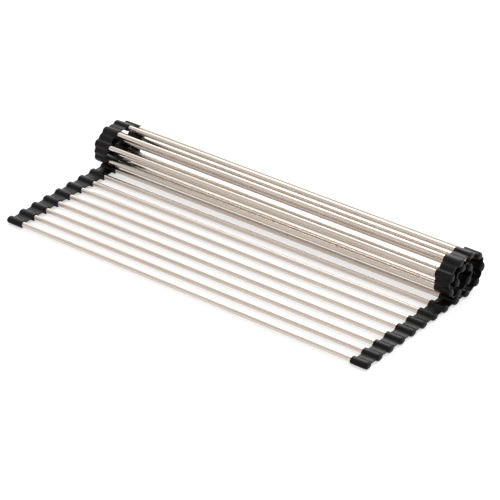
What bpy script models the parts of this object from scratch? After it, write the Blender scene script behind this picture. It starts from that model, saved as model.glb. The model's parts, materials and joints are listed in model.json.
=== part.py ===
"""Roll up dish drying rack for over a sink.

Steel rods lie side by side. Both ends of each rod are pushed into domed silicone segments. The
segments of one side are linked by thin webs that bend along lines at half their thickness, so the mat
rolls up. The front of the mat lies flat. The back is rolled forward on top of it, in a little over one
and a half turns.

X runs along the rods, Y from the front edge to the back, and Z up. The origin is at the middle of the
bounding box's base. A slat is one rod with its two segments, and slats count from the front edge.
"""

import math
from collections import namedtuple

import bmesh
import bpy

# Driving dimensions of the mat, in metres
rack_width = 0.452
slat_pitch = 0.0182
web_gap = 0.0005

# Driving dimensions of the rods, in metres
rod_diameter = 0.0055
rod_wall = 0.0005
rod_side_clearance = 0.0003
rod_end_clearance = 0.0005

# Driving dimensions of the silicone segments, in metres
segment_length = 0.0195
segment_wall = 0.00065
end_round = 0.0027
mouth_bevel = 0.0003
socket_end_wall = 0.0035

# Driving dimension of the vent that keeps a joined slat's bore open at its ends, in metres
vent_diameter = 0.001

# Slats in the mat, and how far each web of the rolled part bends, in degrees from the flat part on
slat_count = 22
roll_bends = (31, 50, 59, 30, 24, 43, 61, 69, 31, 83, 78, 70)

# Slats at the rolled end whose rod and segments are one solid
joined_count = 3

# Segments up to this share of a pitch thick bend that far, and thicker ones less in proportion
full_bend_share = 0.41

# A quarter of a segment's outline, from the web's edge over its foot to the crest above the rod
web_shares = ((1.0, 0.0), (0.9, 0.17), (0.56, 0.3), (0.4, 0.66), (0.2, 1.0))

# The same quarter at an edge of the mat, where no web follows
edge_shares = ((0.52, 0.0), (0.51, 0.2), (0.47, 0.45), (0.38, 0.75), (0.2, 1.0))

# Angles in degrees at which the rounded outer end is cut into bands
end_turns = (0, 45, 90)

# Faces that meet at a larger angle, in degrees, keep a sharp edge
sharp_angle = 40

# Derived sizes
half_pitch = slat_pitch / 2
half_width = rack_width / 2
nose_reach = (slat_pitch - web_gap) / 2
rod_radius = rod_diameter / 2
rod_bore_radius = rod_radius - rod_wall
socket_radius = rod_radius + rod_side_clearance
half_thickness = socket_radius + segment_wall
socket_depth = segment_length - socket_end_wall
segment_start = half_width - segment_length
rod_end = half_width - socket_end_wall - rod_end_clearance
round_sides = 4 * len(web_shares) - 2
root_number = slat_count - len(roll_bends)
roll_share = min(1, full_bend_share * half_pitch / half_thickness)

# A slat's line of rotation (y, z), its tilt in radians, and how far behind that line its rod lies
Slat = namedtuple("Slat", "number y z tilt rod_offset")


def clear_scene():
    """Remove whatever the scene holds."""
    for item in list(bpy.data.objects):
        bpy.data.objects.remove(item, do_unlink=True)


def principled(name, colour, roughness, metallic):
    """A plain Principled BSDF material."""
    material = bpy.data.materials.new(name)
    material.use_nodes = True
    material.diffuse_color = (*colour, 1)
    shader = material.node_tree.nodes["Principled BSDF"]
    shader.inputs["Base Color"].default_value = (*colour, 1)
    shader.inputs["Roughness"].default_value = roughness
    shader.inputs["Metallic"].default_value = metallic
    return material


def outline(rear_shares, front_shares):
    """A segment's outline as points (y, z), from its rear edge over the top and back below."""
    rear = [(y_share * nose_reach, z_share * half_thickness) for y_share, z_share in rear_shares]
    front = [(-y_share * nose_reach, z_share * half_thickness) for y_share, z_share in front_shares]
    top = rear + front[::-1]
    bottom = [(y, -z) for y, z in reversed(top[1:-1])]
    return top + bottom


def shrunk(points, inset):
    """An outline with its web edges and crests drawn in by the inset."""
    y_scale = 1 - inset / nose_reach
    z_scale = 1 - inset / half_thickness
    return [(y * y_scale, z * z_scale) for y, z in points]


def circle(radius):
    """A round outline with as many points as a segment has, starting at the rear."""
    turns = [2 * math.pi * step / round_sides for step in range(round_sides)]
    return [(radius * math.cos(turn), radius * math.sin(turn)) for turn in turns]


def segment_rings(points):
    """The rings (x, outline) of a segment's outside, from its mouth at X zero to its rounded end."""
    rings = [(0, shrunk(points, mouth_bevel)), (mouth_bevel, points)]
    for degrees in end_turns:
        turn = math.radians(degrees)
        x = segment_length - end_round * (1 - math.sin(turn))
        rings.append((x, shrunk(points, end_round * (1 - math.cos(turn)))))
    return rings


def add_loops(mesh, rings):
    """Add the points of each ring to the mesh."""
    return [[mesh.verts.new((x, y, z)) for y, z in points] for x, points in rings]


def skin(mesh, loops):
    """Join each loop to the next with a band of quads."""
    for near, far in zip(loops, loops[1:]):
        for index in range(round_sides):
            after = (index + 1) % round_sides
            mesh.faces.new((near[index], near[after], far[after], far[index]))


def finished(mesh, name, material):
    """Turn the faces outward and store the mesh, smooth but for its sharp edges."""
    bmesh.ops.recalc_face_normals(mesh, faces=mesh.faces)
    data = bpy.data.meshes.new(name)
    mesh.to_mesh(data)
    mesh.free()
    data.shade_smooth()
    data.set_sharp_from_angle(angle=math.radians(sharp_angle))
    data.materials.append(material)
    return data


def segment_mesh(rear_shares, front_shares, material):
    """A domed segment with its socket's mouth at X zero and its rounded end further out."""
    mesh = bmesh.new()
    socket = [(socket_depth, circle(socket_radius)), (0, circle(socket_radius))]
    loops = add_loops(mesh, socket + segment_rings(outline(rear_shares, front_shares)))
    skin(mesh, loops)
    mesh.faces.new(loops[0])
    mesh.faces.new(loops[-1])
    return finished(mesh, "segment", material)


def rod_mesh(material):
    """A thin tube with open ends, centred on the mat's middle."""
    mesh = bmesh.new()
    rings = [
        (-rod_end, circle(rod_bore_radius)),
        (-rod_end, circle(rod_radius)),
        (rod_end, circle(rod_radius)),
        (rod_end, circle(rod_bore_radius)),
    ]
    loops = add_loops(mesh, rings)
    skin(mesh, loops + loops[:1])
    return finished(mesh, "rod", material)


def joined_mesh(rear_shares, front_shares, material):
    """A rod and its two segments as one solid, with the rod's bore vented through both ends."""
    mesh = bmesh.new()
    segment = segment_rings(outline(rear_shares, front_shares))
    right_half = [(segment_start, circle(rod_radius))]
    right_half += [(segment_start + x, points) for x, points in segment]
    right_half += [
        (half_width, circle(vent_diameter / 2)),
        (rod_end, circle(vent_diameter / 2)),
        (rod_end, circle(rod_bore_radius)),
    ]
    left_half = [(-x, points) for x, points in reversed(right_half)]
    loops = add_loops(mesh, left_half + right_half)
    skin(mesh, loops + loops[:1])
    return finished(mesh, "joined_slat", material)


def flat_slats():
    """The flat front slats, which turn on the web behind them, and the root, which stays still."""
    slats = []
    for number in range(1, root_number):
        slats.append(Slat(number, number * slat_pitch - half_pitch, 0, 0, -half_pitch))
    slats.append(Slat(root_number, (root_number - 1) * slat_pitch, 0, 0, 0))
    return slats


def rolled_slats():
    """The rolled slats, which turn on the web before them, each bent on from the last."""
    slats = []
    y = root_number * slat_pitch - half_pitch
    z = 0
    tilt = 0
    for step, bend in enumerate(roll_bends):
        tilt += math.radians(bend * roll_share)
        slats.append(Slat(root_number + 1 + step, y, z, tilt, half_pitch))
        y += slat_pitch * math.cos(tilt)
        z += slat_pitch * math.sin(tilt)
    return slats


def slat_shares(slat):
    """The outline's shares behind and before a slat's rod."""
    rear_shares = edge_shares if slat.number == slat_count else web_shares
    front_shares = edge_shares if slat.number == 1 else web_shares
    return rear_shares, front_shares


def middle_of(slats):
    """The middle along Y of all the slats' outlines."""
    reaches = []
    for slat in slats:
        for y, z in outline(*slat_shares(slat)):
            along = slat.rod_offset + y
            reaches.append(slat.y + along * math.cos(slat.tilt) - z * math.sin(slat.tilt))
    return (min(reaches) + max(reaches)) / 2


def add_empty(slat, middle):
    """An empty on the slat's line of rotation, tilted with the slat."""
    empty = bpy.data.objects.new(f"slat_{slat.number:02d}_axis", None)
    empty.location = (0, slat.y - middle, slat.z + half_thickness)
    empty.rotation_euler = (slat.tilt, 0, 0)
    bpy.context.collection.objects.link(empty)
    return empty


def add_piece(name, data, parent, location, half_turns):
    """One piece on its slat's empty, turned about Z by whole half turns."""
    piece = bpy.data.objects.new(name, data)
    piece.parent = parent
    piece.location = location
    piece.rotation_euler = (0, 0, half_turns * math.pi)
    bpy.context.collection.objects.link(piece)


def build_rack():
    """All slats, each on its own empty, as a rod and two segments or as one joined solid."""
    steel = principled("stainless_steel", (0.60, 0.58, 0.55), 0.28, 1.0)
    silicone = principled("black_silicone", (0.022, 0.022, 0.024), 0.55, 0.0)
    rod = rod_mesh(steel)
    slats = flat_slats() + rolled_slats()
    middle = middle_of(slats)
    for slat in slats:
        empty = add_empty(slat, middle)
        offset = slat.rod_offset
        rear_shares, front_shares = slat_shares(slat)
        if slat.number > slat_count - joined_count:
            joined = joined_mesh(rear_shares, front_shares, steel)
            add_piece(f"joined_slat_{slat.number:02d}", joined, empty, (0, offset, 0), 0)
            continue
        right = segment_mesh(rear_shares, front_shares, silicone)
        left = segment_mesh(front_shares, rear_shares, silicone)
        add_piece(f"rod_{slat.number:02d}", rod, empty, (0, offset, 0), 0)
        add_piece(f"right_segment_{slat.number:02d}", right, empty, (segment_start, offset, 0), 0)
        add_piece(f"left_segment_{slat.number:02d}", left, empty, (-segment_start, offset, 0), 1)


clear_scene()
build_rack()
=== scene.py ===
"""Looks of the roll up dish drying rack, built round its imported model.

Each rod, each silicone segment and each web between two segments is a piece of its own. A piece's mesh
is made in its slat's own frame, with X along the rod, Y across the slat and Z through its thickness, and
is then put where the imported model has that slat.
"""

import json
import math
from collections import namedtuple

import bmesh
import bpy
from mathutils import Matrix, Vector

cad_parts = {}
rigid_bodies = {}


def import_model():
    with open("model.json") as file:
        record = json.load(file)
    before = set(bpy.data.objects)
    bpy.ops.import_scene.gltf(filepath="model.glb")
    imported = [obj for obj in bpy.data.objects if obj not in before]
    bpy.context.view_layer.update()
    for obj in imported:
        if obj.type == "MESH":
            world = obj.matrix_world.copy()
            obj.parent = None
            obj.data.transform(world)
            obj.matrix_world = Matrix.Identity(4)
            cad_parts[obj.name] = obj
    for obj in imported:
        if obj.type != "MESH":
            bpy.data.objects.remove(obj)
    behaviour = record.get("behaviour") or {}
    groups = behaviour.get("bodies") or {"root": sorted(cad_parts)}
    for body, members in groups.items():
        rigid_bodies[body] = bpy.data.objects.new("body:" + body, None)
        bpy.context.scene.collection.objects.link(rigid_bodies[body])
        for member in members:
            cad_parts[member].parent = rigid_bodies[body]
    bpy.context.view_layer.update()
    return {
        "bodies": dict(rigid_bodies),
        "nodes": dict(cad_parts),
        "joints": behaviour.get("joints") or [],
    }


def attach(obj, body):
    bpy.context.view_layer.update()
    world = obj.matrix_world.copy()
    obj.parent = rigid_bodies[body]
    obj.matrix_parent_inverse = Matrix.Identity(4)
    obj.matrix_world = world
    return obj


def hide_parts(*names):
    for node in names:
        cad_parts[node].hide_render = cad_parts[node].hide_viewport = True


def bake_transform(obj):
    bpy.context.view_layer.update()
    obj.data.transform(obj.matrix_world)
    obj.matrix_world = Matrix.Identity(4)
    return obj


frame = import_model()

# Sizes of the silicone segments, in metres
segment_length = 0.0195
half_thickness = 0.0037
end_round = 0.0027
mouth_round = 0.0004
lip_round = 0.0003
socket_depth = 0.016
bump_half_width = 0.0050

# Sizes of the flange on each side of a segment's bump, in metres
flange_reach = 0.0074
edge_reach = 0.0046
flange_half_thickness = 0.00065
flange_mouth_margin = 0.0008
flange_end_margin = 0.0017
flange_bevel = 0.0002

# The share of the flange's reach that is left where a segment has no flange
bare_flange_share = 0.03

# Sizes of the rods, in metres
rod_radius = 0.00275
rod_wall = 0.0005
rod_half_length = 0.222
rod_chamfer = 0.0002

# Sizes of the webs, in metres
web_half_thickness = 0.0006
web_reach = 0.0020
web_bend_reach = 0.0012

# Where the segments' mouths are along X, and how far a slat's rod is from its web's line, in metres
mouth_x = 0.2065
half_pitch = 0.0091

# A quarter of the bump's outline, from its foot to the crest over the rod
bump_shares = (
    (1.0, 0.19),
    (0.90, 0.27),
    (0.80, 0.47),
    (0.66, 0.72),
    (0.40, 0.93),
    (0.20, 0.985),
    (0.0, 1.0),
)

# How finely the curved forms are cut
bump_steps = 14
round_steps = 6
rod_sides = 64
web_steps = 14

# Half the side of the floor, and how far it lies under the rack, in metres
floor_reach = 12
floor_drop = 0.0001

Slat = namedtuple("Slat", "number name y z tilt")


def slat_name(number):
    return f"slat_{number:02d}"


def web_lines():
    """The line (y, z) of each web, by the number of the slat before it."""
    lines = {}
    for joint in frame["joints"]:
        number = min(int(joint[end][-2:]) for end in ("parent", "child"))
        lines[number] = Vector(joint["pos_m"][1:])
    return lines


def slat_layout(lines):
    """Each slat's rod axis and its tilt. A slat lies midway between the webs beside it."""
    slats = []
    count = len(frame["bodies"])
    for number in range(1, count + 1):
        if number == 1:
            tilt = 0.0
            centre = lines[number] - Vector((half_pitch, 0))
        elif number == count:
            tilt += math.radians(last_bend())
            centre = lines[number - 1] + Vector((math.cos(tilt), math.sin(tilt))) * half_pitch
        else:
            along = lines[number] - lines[number - 1]
            tilt = math.atan2(along.y, along.x)
            centre = (lines[number] + lines[number - 1]) / 2
        slats.append(Slat(number, slat_name(number), centre.x, centre.y, tilt))
    return slats


def last_bend():
    """How far the rolled end's web is bent at rest, in degrees."""
    joint = max(frame["joints"], key=lambda each: int(each["child"][-2:]))
    return max(joint["range_deg"], key=abs)


def placed(slat):
    """The matrix that puts a mesh made in the slat's own frame in its place."""
    return Matrix.Translation((0, slat.y, slat.z)) @ Matrix.Rotation(slat.tilt, 4, "X")


def smooth_share(u):
    """The bump's height at a share u of its half width, along a smooth curve through the quarter's points."""
    points = bump_shares[::-1]
    for index in range(len(points) - 1):
        (u0, z0), (u1, z1) = points[index], points[index + 1]
        if u <= u1:
            break
    slope_at = []
    for i in (index, index + 1):
        if i in (0, len(points) - 1):
            slope_at.append(0.0)
        else:
            left = (points[i][1] - points[i - 1][1]) / (points[i][0] - points[i - 1][0])
            right = (points[i + 1][1] - points[i][1]) / (points[i + 1][0] - points[i][0])
            slope_at.append(0.0 if left * right <= 0 else 2 * left * right / (left + right))
    width = u1 - u0
    t = (u - u0) / width
    h00, h10 = 2 * t**3 - 3 * t**2 + 1, t**3 - 2 * t**2 + t
    h01, h11 = -2 * t**3 + 3 * t**2, t**3 - t**2
    return h00 * z0 + h10 * width * slope_at[0] + h01 * z1 + h11 * width * slope_at[1]


def quarter(inset, flange_share, reach):
    """A quarter of the outline (y, z), from the flange's nose to the crest.

    The bump is drawn in by the inset, and the flange keeps a share of its reach.
    """
    y_scale = 1 - inset / bump_half_width
    z_scale = 1 - inset / half_thickness
    foot = min(bump_half_width, reach)
    points = []
    for step in range(round_steps):
        turn = math.pi / 2 * step / round_steps
        along = (reach - foot) - flange_half_thickness * (1 - math.cos(turn))
        up = flange_half_thickness * math.sin(turn)
        points.append((foot * y_scale + along * flange_share, up * z_scale))
    for step in range(bump_steps + 1):
        u = (1 - step / bump_steps) * foot / bump_half_width
        points.append((u * bump_half_width * y_scale, smooth_share(u) * half_thickness * z_scale))
    return points


def segment_outline(inset, flange_share, rear_reach, front_reach):
    """The whole outline as points (y, z) from the rear nose over the crest and back below."""
    rear = quarter(inset, flange_share, rear_reach)
    front = [(-y, z) for y, z in quarter(inset, flange_share, front_reach)]
    top = rear + front[-2::-1]
    return top + [(y, -z) for y, z in reversed(top[1:-1])]


def circle(radius, sides):
    """A round outline that starts at the rear and goes over the top."""
    turns = [2 * math.pi * step / sides for step in range(sides)]
    return [(radius * math.cos(turn), radius * math.sin(turn)) for turn in turns]


def loop_at(mesh, x, outline):
    return [mesh.verts.new((x, y, z)) for y, z in outline]


def skin(mesh, loops):
    """Join each loop to the next with a band of quads."""
    for near, far in zip(loops, loops[1:]):
        for index in range(len(near)):
            after = (index + 1) % len(near)
            mesh.faces.new((near[index], near[after], far[after], far[index]))


def stored(mesh, name, sharp_degrees=50):
    """Turn the faces outward and store the mesh as a new object, smooth but for its sharp edges."""
    bmesh.ops.recalc_face_normals(mesh, faces=mesh.faces)
    data = bpy.data.meshes.new(name)
    mesh.to_mesh(data)
    mesh.free()
    data.shade_smooth()
    data.set_sharp_from_angle(angle=math.radians(sharp_degrees))
    piece = bpy.data.objects.new(name, data)
    bpy.context.scene.collection.objects.link(piece)
    return piece


def segment_loops(mesh, rear_reach, front_reach):
    """The loops of a segment from its socket's bottom out over the mouth to its rounded end."""
    sides = len(segment_outline(0, 1, rear_reach, front_reach))
    loops = [
        loop_at(mesh, socket_depth, circle(rod_radius, sides)),
        loop_at(mesh, lip_round, circle(rod_radius, sides)),
    ]
    for step in range(1, round_steps + 1):
        turn = math.pi / 2 * step / round_steps
        radius = rod_radius + lip_round * (1 - math.cos(turn))
        loops.append(loop_at(mesh, lip_round * (1 - math.sin(turn)), circle(radius, sides)))
    flange_start = flange_mouth_margin
    flange_stop = segment_length - flange_end_margin
    stations = []
    for step in range(round_steps + 1):
        turn = math.pi / 2 * step / round_steps
        stations.append((mouth_round * (1 - math.cos(turn)), mouth_round * (1 - math.sin(turn))))
    stations += [(flange_start, 0), (flange_start + flange_bevel, 0)]
    for step in range(2 * round_steps + 1):
        turn = math.pi / 4 * step / round_steps
        stations.append((segment_length - end_round * (1 - math.sin(turn)), end_round * (1 - math.cos(turn))))
    stop_inset = end_round - math.sqrt(end_round**2 - max(0, flange_stop - segment_length + end_round) ** 2)
    stations += [(flange_stop, stop_inset), (flange_stop + flange_bevel, stop_inset)]
    for x, inset in sorted(stations):
        share = 1 if flange_start < x <= flange_stop else bare_flange_share
        loops.append(loop_at(mesh, x, segment_outline(inset, share, rear_reach, front_reach)))
    return loops


def segment(name, slat, side, material):
    """A domed segment. side is 1 for the right one and -1 for the left one."""
    rear_reach = edge_reach if slat.number == len(frame["bodies"]) else flange_reach
    front_reach = edge_reach if slat.number == 1 else flange_reach
    mesh = bmesh.new()
    if side > 0:
        loops = segment_loops(mesh, rear_reach, front_reach)
    else:
        loops = segment_loops(mesh, front_reach, rear_reach)
    skin(mesh, loops)
    mesh.faces.new(loops[0])
    mesh.faces.new(loops[-1])
    bmesh.ops.transform(mesh, matrix=Matrix.Translation((mouth_x, 0, 0)), verts=mesh.verts)
    if side < 0:
        bmesh.ops.transform(mesh, matrix=Matrix.Rotation(math.pi, 4, "Z"), verts=mesh.verts)
    bmesh.ops.transform(mesh, matrix=placed(slat), verts=mesh.verts)
    piece = stored(mesh, name)
    piece.data.materials.append(material)
    return piece


def rod(name, slat, material):
    """A thin tube with open ends and broken edges."""
    mesh = bmesh.new()
    bore = rod_radius - rod_wall
    end = rod_half_length
    loops = []
    for x, radius in (
        (-end, bore + rod_chamfer / 2),
        (-end, rod_radius - rod_chamfer),
        (-end + rod_chamfer, rod_radius),
        (end - rod_chamfer, rod_radius),
        (end, rod_radius - rod_chamfer),
        (end, bore + rod_chamfer / 2),
        (end - rod_chamfer, bore),
        (-end + rod_chamfer, bore),
    ):
        loops.append(loop_at(mesh, x, circle(radius, rod_sides)))
    skin(mesh, loops + loops[:1])
    bmesh.ops.transform(mesh, matrix=placed(slat), verts=mesh.verts)
    piece = stored(mesh, name, 30)
    piece.data.materials.append(material)
    return piece


def web(name, line, before, after, material):
    """The thin silicone between two neighbouring segments, at both ends of the mat."""
    mesh = bmesh.new()
    back = Vector((-math.cos(before.tilt), -math.sin(before.tilt))) * web_reach
    ahead = Vector((math.cos(after.tilt), math.sin(after.tilt))) * web_reach
    start, end = line + back, line + ahead
    top, bottom = [], []
    for step in range(web_steps + 1):
        t = step / web_steps
        centre = (1 - t) ** 2 * start + 2 * t * (1 - t) * line + t**2 * end
        tangent = ((1 - t) * (line - start) + t * (end - line)).normalized()
        normal = Vector((-tangent.y, tangent.x)) * web_half_thickness
        top.append(centre + normal)
        bottom.append(centre - normal)
    outline = [(p.x, p.y) for p in top + bottom[::-1]]
    near = mouth_x + flange_mouth_margin + flange_bevel
    far = mouth_x + segment_length - flange_end_margin
    for x0, x1 in ((-far, -near), (near, far)):
        loops = [loop_at(mesh, x0, outline), loop_at(mesh, x1, outline)]
        skin(mesh, loops)
        for loop in loops:
            for index in range(web_steps):
                other = len(loop) - 1 - index
                mesh.faces.new((loop[index], loop[index + 1], loop[other - 1], loop[other]))
    piece = stored(mesh, name)
    piece.data.materials.append(material)
    bend_share = web_bend_reach / web_reach
    start, end = line + back * bend_share, line + ahead * bend_share
    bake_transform(piece)
    return piece


def principled(name):
    """A new material with its node tree and its Principled BSDF."""
    material = bpy.data.materials.new(name)
    material.use_nodes = True
    tree = material.node_tree
    return material, tree, tree.nodes["Principled BSDF"]


def stretched_noise(tree, scale, detail, stretch=(1, 1, 1)):
    """A noise over the piece's own coordinates, stretched along X, Y or Z."""
    place = tree.nodes.new("ShaderNodeTexCoord")
    mapping = tree.nodes.new("ShaderNodeMapping")
    mapping.inputs["Scale"].default_value = stretch
    noise = tree.nodes.new("ShaderNodeTexNoise")
    noise.inputs["Scale"].default_value = scale
    noise.inputs["Detail"].default_value = detail
    tree.links.new(place.outputs["Object"], mapping.inputs["Vector"])
    tree.links.new(mapping.outputs["Vector"], noise.inputs["Vector"])
    return noise.outputs["Fac"]


def ramp(tree, value, stops):
    """A colour ramp over a value, from stops (position, colour)."""
    node = tree.nodes.new("ShaderNodeValToRGB")
    while len(node.color_ramp.elements) < len(stops):
        node.color_ramp.elements.new(0.5)
    for element, (position, colour) in zip(node.color_ramp.elements, stops):
        element.position = position
        element.color = (*colour, 1)
    tree.links.new(value, node.inputs["Fac"])
    return node.outputs["Color"]


def mapped(tree, value, low, high, from_low=0.3, from_high=0.7):
    """A value mapped from its usual span to low and high."""
    node = tree.nodes.new("ShaderNodeMapRange")
    node.inputs["From Min"].default_value = from_low
    node.inputs["From Max"].default_value = from_high
    node.inputs["To Min"].default_value = low
    node.inputs["To Max"].default_value = high
    tree.links.new(value, node.inputs["Value"])
    return node.outputs["Result"]


def bump(tree, height, strength, distance):
    node = tree.nodes.new("ShaderNodeBump")
    node.inputs["Strength"].default_value = strength
    node.inputs["Distance"].default_value = distance
    tree.links.new(height, node.inputs["Height"])
    return node.outputs["Normal"]


def steel_material():
    """Warm stainless tube, lightly drawn along its length."""
    material, tree, shader = principled("drawn_stainless")
    streaks = stretched_noise(tree, 260, 3, (0.02, 1, 1))
    clouds = stretched_noise(tree, 40, 4, (0.35, 1, 1))
    colour = ramp(tree, clouds, ((0.25, (0.575, 0.51, 0.45)), (0.75, (0.645, 0.575, 0.51))))
    tree.links.new(colour, shader.inputs["Base Color"])
    tree.links.new(mapped(tree, streaks, 0.16, 0.24), shader.inputs["Roughness"])
    tree.links.new(bump(tree, streaks, 0.1, 0.00002), shader.inputs["Normal"])
    shader.inputs["Metallic"].default_value = 1.0
    return material


def silicone_material():
    """Satin black silicone with the fine grain of its mould and a little rubbed dust."""
    material, tree, shader = principled("satin_black_silicone")
    grain = stretched_noise(tree, 1500, 2)
    wear = stretched_noise(tree, 140, 5)
    colour = ramp(tree, wear, ((0.30, (0.0028, 0.0027, 0.0026)), (0.75, (0.006, 0.0057, 0.0055))))
    tree.links.new(colour, shader.inputs["Base Color"])
    tree.links.new(mapped(tree, wear, 0.30, 0.42), shader.inputs["Roughness"])
    tree.links.new(bump(tree, grain, 0.2, 0.00004), shader.inputs["Normal"])
    shader.inputs["Specular IOR Level"].default_value = 0.14
    return material


def build_pieces():
    steel = steel_material()
    silicone = silicone_material()
    lines = web_lines()
    slats = slat_layout(lines)
    for slat in slats:
        number = f"{slat.number:02d}"
        joined = f"joined_slat_{number}"
        tube = rod(f"tube_{number}", slat, steel)
        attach(tube, slat.name)
        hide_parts(joined if joined in frame["nodes"] else f"rod_{number}")
        for side, word in ((-1, "left"), (1, "right")):
            end = segment(f"{word}_end_{number}", slat, side, silicone)
            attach(end, slat.name)
            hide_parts(joined if joined in frame["nodes"] else f"{word}_segment_{number}")
    for before, after in zip(slats, slats[1:]):
        name = f"webs_{before.number:02d}_{after.number:02d}"
        web(name, lines[before.number], before, after, silicone)


def floor():
    """A wide pale floor just under the rack, which glows a little so that it stays near white."""
    mesh = bmesh.new()
    bmesh.ops.create_grid(mesh, x_segments=8, y_segments=8, size=floor_reach)
    piece = stored(mesh, "floor")
    piece.location.z = -floor_drop
    material, tree, shader = principled("pale_floor")
    tone = stretched_noise(tree, 3, 2)
    tree.links.new(
        ramp(tree, tone, ((0.3, (0.56, 0.56, 0.56)), (0.7, (0.58, 0.58, 0.58)))), shader.inputs["Base Color"]
    )
    shader.inputs["Roughness"].default_value = 0.9
    shader.inputs["Emission Color"].default_value = (1, 1, 1, 1)
    shader.inputs["Emission Strength"].default_value = 0.54
    shader.inputs["Specular IOR Level"].default_value = 0.0
    piece.data.materials.append(material)


def sky():
    """Soft studio light, bright behind the rack and fainter overhead and in front of it."""
    world = bpy.data.worlds.new("soft_studio")
    bpy.context.scene.world = world
    world.use_nodes = True
    tree = world.node_tree
    place = tree.nodes.new("ShaderNodeTexCoord")
    tilt = tree.nodes.new("ShaderNodeVectorMath")
    tilt.operation = "DOT_PRODUCT"
    tilt.inputs[1].default_value = (0, 0.8, 0.35)
    tree.links.new(place.outputs["Generated"], tilt.inputs[0])
    shade = ramp(
        tree,
        mapped(tree, tilt.outputs["Value"], 0, 1, -0.5, 1.0),
        (
            (0.0, (0.43, 0.426, 0.422)),
            (0.30, (0.46, 0.456, 0.452)),
            (0.55, (0.55, 0.547, 0.545)),
            (0.80, (1.0, 1.0, 1.0)),
        ),
    )
    background = tree.nodes["Background"]
    tree.links.new(shade, background.inputs["Color"])
    background.inputs["Strength"].default_value = 1.95


def softbox(name, place, aim, width, height, power):
    """A rectangular area light that looks at a point."""
    light = bpy.data.lights.new(name, "AREA")
    light.shape = "RECTANGLE"
    light.size, light.size_y = width, height
    light.energy = power
    lamp = bpy.data.objects.new(name, light)
    lamp.location = place
    lamp.rotation_euler = (Vector(aim) - Vector(place)).to_track_quat("-Z", "Y").to_euler()
    bpy.context.scene.collection.objects.link(lamp)


def camera():
    """The photograph's view: azimuth and elevation in degrees, distance in metres."""
    azimuth, elevation, distance = math.radians(37.95), math.radians(30.32), 2.6704
    target = Vector((0.005816, 0.007469, 0.002794))
    back = Vector((
        math.sin(azimuth) * math.cos(elevation),
        -math.cos(azimuth) * math.cos(elevation),
        math.sin(elevation),
    ))
    data = bpy.data.cameras.new("camera")
    data.lens = 192.46
    data.sensor_width = 36
    data.clip_end = 100
    eye = bpy.data.objects.new("camera", data)
    eye.location = target + back * distance
    eye.rotation_euler = (math.pi / 2 - elevation, 0, azimuth)
    bpy.context.scene.collection.objects.link(eye)
    bpy.context.scene.camera = eye


camera()
build_pieces()
floor()
sky()
softbox("back_softbox", (-0.70, 1.42, 1.2), (0, 0, 0), 1.0, 0.9, 11)
bpy.context.scene.view_settings.view_transform = "Standard"
